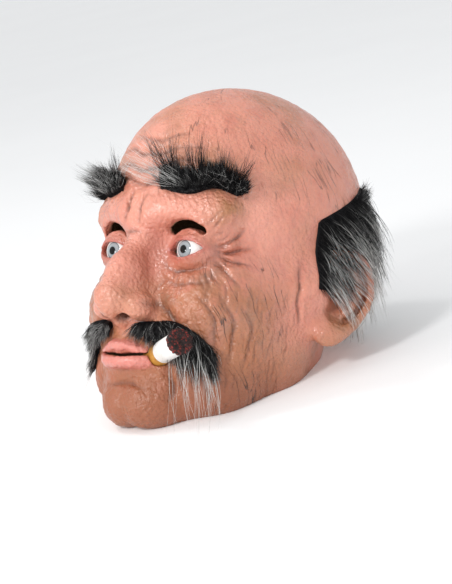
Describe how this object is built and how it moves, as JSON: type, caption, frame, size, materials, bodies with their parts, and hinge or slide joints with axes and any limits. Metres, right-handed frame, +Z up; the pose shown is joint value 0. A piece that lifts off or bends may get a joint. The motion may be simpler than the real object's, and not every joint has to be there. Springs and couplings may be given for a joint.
{
  "type": "old man mask",
  "caption": "Latex mask of an old man's whole head, bald, with bushy fur eyebrows, moustache and fringe, plastic eyes and a cigarette stub.",
  "frame": {"origin": "middle of the bounds, at the level of the flat edge round the neck opening, which is the underside", "axes": "+Z up, -Y towards the side that the face looks to, +X towards the mask's own left"},
  "size_m": [0.2524, 0.3242, 0.2473],
  "materials": {
    "latex": "painted latex with a soft shine, pebbled and creased, dark wash in the creases",
    "eye": "glossy white plastic with a painted grey-blue iris and black pupil",
    "fur": "black fur pile with long grey and white hairs",
    "filter": "painted ochre, matt",
    "paper": "painted white, matt",
    "ember": "rough, dark red and black"
  },
  "bodies": {
    "root": {"mask_shell": "latex", "left_eye": "eye", "right_eye": "eye", "left_eyebrow": "fur", "right_eyebrow": "fur", "left_moustache": "fur", "right_moustache": "fur", "hair_fringe": "fur", "cigarette_filter": "filter", "cigarette_paper": "paper", "cigarette_ember": "ember"}
  },
  "joints": []
}
